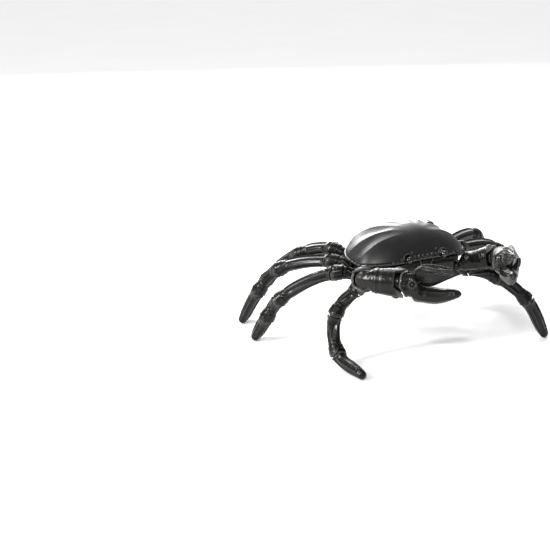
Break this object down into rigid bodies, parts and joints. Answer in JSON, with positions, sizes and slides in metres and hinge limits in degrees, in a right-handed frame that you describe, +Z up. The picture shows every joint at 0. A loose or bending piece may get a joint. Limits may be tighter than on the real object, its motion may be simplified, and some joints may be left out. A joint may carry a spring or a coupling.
{
  "type": "articulated cast metal crab ornament",
  "caption": "Crab ornament in black lacquered cast metal: hollow fluted shell on a body tray, jointed legs, claws with hinged fingers and turning eyes.",
  "frame": {"origin": "on the surface that the toes stand on, under the middle of the whole crab's box seen from above; the body's own middle is 17.3 mm to -X and 14.4 mm to -Y of it", "axes": "+Z up, the crab looks along -Y and its right side is -X"},
  "size_m": [0.2808, 0.2429, 0.1109],
  "materials": {
    "black_lacquer": "high gloss black bronze lacquer over cast metal",
    "polished_eye": "mirror gloss black lacquer",
    "pin_metal": "dark patinated pins",
    "screw_metal": "plain dull screw"
  },
  "bodies": {
    "body": {"shell": "black_lacquer", "body_tray": "black_lacquer", "body_screw": "screw_metal", "right_mouth_plate": "black_lacquer", "left_mouth_plate": "black_lacquer", "right_leg_1_root_pin": "pin_metal", "right_leg_2_root_pin": "pin_metal", "right_leg_3_root_pin": "pin_metal", "right_leg_4_root_pin": "pin_metal", "right_claw_root_pin": "pin_metal", "left_leg_1_root_pin": "pin_metal", "left_leg_2_root_pin": "pin_metal", "left_leg_3_root_pin": "pin_metal", "left_leg_4_root_pin": "pin_metal", "left_claw_root_pin": "pin_metal"},
    "right_leg_1_hip": {"right_leg_1_hip": "black_lacquer"},
    "right_leg_1_thigh": {"right_leg_1_thigh": "black_lacquer"},
    "right_leg_1_shin": {"right_leg_1_shin": "black_lacquer"},
    "right_leg_1_toe": {"right_leg_1_toe": "black_lacquer"},
    "right_leg_2_hip": {"right_leg_2_hip": "black_lacquer"},
    "right_leg_2_thigh": {"right_leg_2_thigh": "black_lacquer"},
    "right_leg_2_shin": {"right_leg_2_shin": "black_lacquer"},
    "right_leg_2_toe": {"right_leg_2_toe": "black_lacquer"},
    "right_leg_3_hip": {"right_leg_3_hip": "black_lacquer"},
    "right_leg_3_thigh": {"right_leg_3_thigh": "black_lacquer"},
    "right_leg_3_shin": {"right_leg_3_shin": "black_lacquer"},
    "right_leg_3_toe": {"right_leg_3_toe": "black_lacquer"},
    "right_leg_4_hip": {"right_leg_4_hip": "black_lacquer"},
    "right_leg_4_thigh": {"right_leg_4_thigh": "black_lacquer"},
    "right_leg_4_shin": {"right_leg_4_shin": "black_lacquer"},
    "right_leg_4_toe": {"right_leg_4_toe": "black_lacquer"},
    "right_claw_arm": {"right_claw_arm": "black_lacquer"},
    "right_claw_forearm": {"right_claw_forearm": "black_lacquer"},
    "right_claw_palm": {"right_claw_palm": "black_lacquer", "right_claw_finger_pin": "pin_metal"},
    "right_claw_finger": {"right_claw_finger": "black_lacquer"},
    "right_eye": {"right_eye": "polished_eye"},
    "left_leg_1_hip": {"left_leg_1_hip": "black_lacquer"},
    "left_leg_1_thigh": {"left_leg_1_thigh": "black_lacquer"},
    "left_leg_1_shin": {"left_leg_1_shin": "black_lacquer"},
    "left_leg_1_toe": {"left_leg_1_toe": "black_lacquer"},
    "left_leg_2_hip": {"left_leg_2_hip": "black_lacquer"},
    "left_leg_2_thigh": {"left_leg_2_thigh": "black_lacquer"},
    "left_leg_2_shin": {"left_leg_2_shin": "black_lacquer"},
    "left_leg_2_toe": {"left_leg_2_toe": "black_lacquer"},
    "left_leg_3_hip": {"left_leg_3_hip": "black_lacquer"},
    "left_leg_3_thigh": {"left_leg_3_thigh": "black_lacquer"},
    "left_leg_3_shin": {"left_leg_3_shin": "black_lacquer"},
    "left_leg_3_toe": {"left_leg_3_toe": "black_lacquer"},
    "left_leg_4_hip": {"left_leg_4_hip": "black_lacquer"},
    "left_leg_4_thigh": {"left_leg_4_thigh": "black_lacquer"},
    "left_leg_4_shin": {"left_leg_4_shin": "black_lacquer"},
    "left_leg_4_toe": {"left_leg_4_toe": "black_lacquer"},
    "left_claw_arm": {"left_claw_arm": "black_lacquer"},
    "left_claw_forearm": {"left_claw_forearm": "black_lacquer"},
    "left_claw_palm": {"left_claw_palm": "black_lacquer", "left_claw_finger_pin": "pin_metal"},
    "left_claw_finger": {"left_claw_finger": "black_lacquer"},
    "left_eye": {"left_eye": "polished_eye"}
  },
  "joints": [
    {"name": "right_leg_1_swing", "type": "hinge", "parent": "body", "child": "right_leg_1_hip", "pos_m": [-0.0623, -0.0224, 0.067], "axis": [0, 0, 1], "range_deg": [-8, 8]},
    {"name": "right_leg_1_lift", "type": "hinge", "parent": "right_leg_1_hip", "child": "right_leg_1_thigh", "pos_m": [-0.0762, -0.02192, 0.06138], "axis": [-0.0349, -0.9994, 0], "range_deg": [-12, 15]},
    {"name": "right_leg_1_knee", "type": "hinge", "parent": "right_leg_1_thigh", "child": "right_leg_1_shin", "pos_m": [-0.09813, -0.02115, 0.04092], "axis": [-0.5118, -0.6816, 0.523], "range_deg": [-15, 12]},
    {"name": "right_leg_1_toe_bend", "type": "hinge", "parent": "right_leg_1_shin", "child": "right_leg_1_toe", "pos_m": [-0.10602, -0.03734, 0.01209], "axis": [-0.9428, -0.1041, 0.3167], "range_deg": [-15, 12]},
    {"name": "right_leg_2_swing", "type": "hinge", "parent": "body", "child": "right_leg_2_hip", "pos_m": [-0.0618, -0.0089, 0.068], "axis": [0, 0, 1], "range_deg": [-5, 8]},
    {"name": "right_leg_2_lift", "type": "hinge", "parent": "right_leg_2_hip", "child": "right_leg_2_thigh", "pos_m": [-0.08248, 0.00505, 0.06974], "axis": [-0.5588, -0.8022, -0.2104], "range_deg": [-12, 15]},
    {"name": "right_leg_2_knee", "type": "hinge", "parent": "right_leg_2_thigh", "child": "right_leg_2_shin", "pos_m": [-0.12045, 0.03923, 0.04024], "axis": [-0.6691, -0.7431, 0], "range_deg": [-15, 12]},
    {"name": "right_leg_2_toe_bend", "type": "hinge", "parent": "right_leg_2_shin", "child": "right_leg_2_toe", "pos_m": [-0.12872, 0.04668, 0.02244], "axis": [-0.6691, -0.7431, 0], "range_deg": [-15, 12]},
    {"name": "right_leg_3_swing", "type": "hinge", "parent": "body", "child": "right_leg_3_hip", "pos_m": [-0.0583, 0.0041, 0.07], "axis": [0, 0, 1], "range_deg": [-2, 5]},
    {"name": "right_leg_3_lift", "type": "hinge", "parent": "right_leg_3_hip", "child": "right_leg_3_thigh", "pos_m": [-0.07303, 0.02514, 0.07407], "axis": [-0.8221, -0.568, -0.0392], "range_deg": [-12, 15]},
    {"name": "right_leg_3_knee", "type": "hinge", "parent": "right_leg_3_thigh", "child": "right_leg_3_shin", "pos_m": [-0.10259, 0.06897, 0.05891], "axis": [-0.829, -0.5592, 0], "range_deg": [-15, 12]},
    {"name": "right_leg_3_toe_bend", "type": "hinge", "parent": "right_leg_3_shin", "child": "right_leg_3_toe", "pos_m": [-0.11433, 0.08637, 0.03476], "axis": [-0.829, -0.5592, 0], "range_deg": [-15, 12]},
    {"name": "right_leg_4_swing", "type": "hinge", "parent": "body", "child": "right_leg_4_hip", "pos_m": [-0.0513, 0.0161, 0.071], "axis": [0, 0, 1], "range_deg": [-8, 2]},
    {"name": "right_leg_4_lift", "type": "hinge", "parent": "right_leg_4_hip", "child": "right_leg_4_thigh", "pos_m": [-0.06352, 0.03815, 0.08068], "axis": [-0.8694, -0.4934, 0.026], "range_deg": [-12, 15]},
    {"name": "right_leg_4_knee", "type": "hinge", "parent": "right_leg_4_thigh", "child": "right_leg_4_shin", "pos_m": [-0.0813, 0.06895, 0.07048], "axis": [-0.8697, -0.4927, 0.0284], "range_deg": [-15, 12]},
    {"name": "right_leg_4_toe_bend", "type": "hinge", "parent": "right_leg_4_shin", "child": "right_leg_4_toe", "pos_m": [-0.09891, 0.09825, 0.0397], "axis": [-0.8572, -0.515, 0], "range_deg": [-15, 12]},
    {"name": "right_claw_swing", "type": "hinge", "parent": "body", "child": "right_claw_arm", "pos_m": [-0.0573, -0.0354, 0.0705], "axis": [0, 0, 1], "range_deg": [-6, 8]},
    {"name": "right_claw_elbow", "type": "hinge", "parent": "right_claw_arm", "child": "right_claw_forearm", "pos_m": [-0.08706, -0.04682, 0.07904], "axis": [0.206, 0.1822, 0.9614], "range_deg": [-20, 8]},
    {"name": "right_claw_wrist", "type": "hinge", "parent": "right_claw_forearm", "child": "right_claw_palm", "pos_m": [-0.06859, -0.07046, 0.07956], "axis": [0.3963, 0.3286, 0.8573], "range_deg": [-20, 8]},
    {"name": "right_claw_finger_hinge", "type": "hinge", "parent": "right_claw_palm", "child": "right_claw_finger", "pos_m": [-0.05898, -0.08077, 0.08207], "axis": [-0.7314, -0.682, 0], "range_deg": [-1, 18]},
    {"name": "right_eye_turn", "type": "hinge", "parent": "body", "child": "right_eye", "pos_m": [-0.0363, -0.0352, 0.08], "axis": [0, 0, 1], "range_deg": [-12, 12]},
    {"name": "left_leg_1_swing", "type": "hinge", "parent": "body", "child": "left_leg_1_hip", "pos_m": [0.0277, -0.0224, 0.067], "axis": [0, 0, -1], "range_deg": [-8, 3]},
    {"name": "left_leg_1_lift", "type": "hinge", "parent": "left_leg_1_hip", "child": "left_leg_1_thigh", "pos_m": [0.04154, -0.0269, 0.06337], "axis": [-0.2132, 0.1256, -0.9689], "range_deg": [-12, 15]},
    {"name": "left_leg_1_knee", "type": "hinge", "parent": "left_leg_1_thigh", "child": "left_leg_1_shin", "pos_m": [0.06283, -0.04675, 0.05611], "axis": [0.6969, 0.7097, 0.1031], "range_deg": [-15, 12]},
    {"name": "left_leg_1_toe_bend", "type": "hinge", "parent": "left_leg_1_shin", "child": "left_leg_1_toe", "pos_m": [0.08363, -0.0642, 0.03565], "axis": [0.679, 0.7311, 0.0666], "range_deg": [-15, 12]},
    {"name": "left_leg_2_swing", "type": "hinge", "parent": "body", "child": "left_leg_2_hip", "pos_m": [0.0272, -0.0089, 0.068], "axis": [0, 0, -1], "range_deg": [-5, 8]},
    {"name": "left_leg_2_lift", "type": "hinge", "parent": "left_leg_2_hip", "child": "left_leg_2_thigh", "pos_m": [0.05062, -0.00477, 0.07573], "axis": [-0.1638, 0.986, -0.0304], "range_deg": [-12, 15]},
    {"name": "left_leg_2_knee", "type": "hinge", "parent": "left_leg_2_thigh", "child": "left_leg_2_shin", "pos_m": [0.10716, 0.00418, 0.06145], "axis": [-0.1632, 0.9862, -0.0276], "range_deg": [-15, 12]},
    {"name": "left_leg_2_toe_bend", "type": "hinge", "parent": "left_leg_2_shin", "child": "left_leg_2_toe", "pos_m": [0.11598, 0.00511, 0.04242], "axis": [-0.1658, 0.9857, -0.0289], "range_deg": [-15, 12]},
    {"name": "left_leg_3_swing", "type": "hinge", "parent": "body", "child": "left_leg_3_hip", "pos_m": [0.0237, 0.0041, 0.07], "axis": [0, 0, -1], "range_deg": [-8, 3]},
    {"name": "left_leg_3_lift", "type": "hinge", "parent": "left_leg_3_hip", "child": "left_leg_3_thigh", "pos_m": [0.04751, 0.01277, 0.07585], "axis": [-0.342, 0.9397, 0], "range_deg": [-12, 15]},
    {"name": "left_leg_3_knee", "type": "hinge", "parent": "left_leg_3_thigh", "child": "left_leg_3_shin", "pos_m": [0.09906, 0.03153, 0.07201], "axis": [-0.342, 0.9397, 0], "range_deg": [-15, 12]},
    {"name": "left_leg_3_toe_bend", "type": "hinge", "parent": "left_leg_3_shin", "child": "left_leg_3_toe", "pos_m": [0.11918, 0.03885, 0.04823], "axis": [-0.342, 0.9397, 0], "range_deg": [-15, 12]},
    {"name": "left_leg_4_swing", "type": "hinge", "parent": "body", "child": "left_leg_4_hip", "pos_m": [0.0167, 0.0161, 0.071], "axis": [0, 0, -1], "range_deg": [-8, 8]},
    {"name": "left_leg_4_lift", "type": "hinge", "parent": "left_leg_4_hip", "child": "left_leg_4_thigh", "pos_m": [0.03483, 0.03361, 0.08068], "axis": [-0.6947, 0.7193, 0], "range_deg": [-12, 15]},
    {"name": "left_leg_4_knee", "type": "hinge", "parent": "left_leg_4_thigh", "child": "left_leg_4_shin", "pos_m": [0.06141, 0.05928, 0.07874], "axis": [-0.6277, 0.6788, 0.381], "range_deg": [-15, 12]},
    {"name": "left_leg_4_toe_bend", "type": "hinge", "parent": "left_leg_4_shin", "child": "left_leg_4_toe", "pos_m": [0.07194, 0.0882, 0.04455], "axis": [-0.9243, 0.38, 0.0369], "range_deg": [-15, 12]},
    {"name": "left_claw_swing", "type": "hinge", "parent": "body", "child": "left_claw_arm", "pos_m": [0.0227, -0.0354, 0.0705], "axis": [0, 0, -1], "range_deg": [-3, 8]},
    {"name": "left_claw_elbow", "type": "hinge", "parent": "left_claw_arm", "child": "left_claw_forearm", "pos_m": [0.05263, -0.04749, 0.07736], "axis": [0.1508, -0.1784, -0.9723], "range_deg": [-20, 8]},
    {"name": "left_claw_wrist", "type": "hinge", "parent": "left_claw_forearm", "child": "left_claw_palm", "pos_m": [0.04544, -0.07632, 0.08154], "axis": [-0.0076, -0.1415, -0.9899], "range_deg": [-20, 8]},
    {"name": "left_claw_finger_hinge", "type": "hinge", "parent": "left_claw_palm", "child": "left_claw_finger", "pos_m": [0.03788, -0.08753, 0.08622], "axis": [-0.829, 0.5592, 0], "range_deg": [-1, 18]},
    {"name": "left_eye_turn", "type": "hinge", "parent": "body", "child": "left_eye", "pos_m": [0.0017, -0.0352, 0.08], "axis": [0, 0, -1], "range_deg": [-12, 12]}
  ]
}
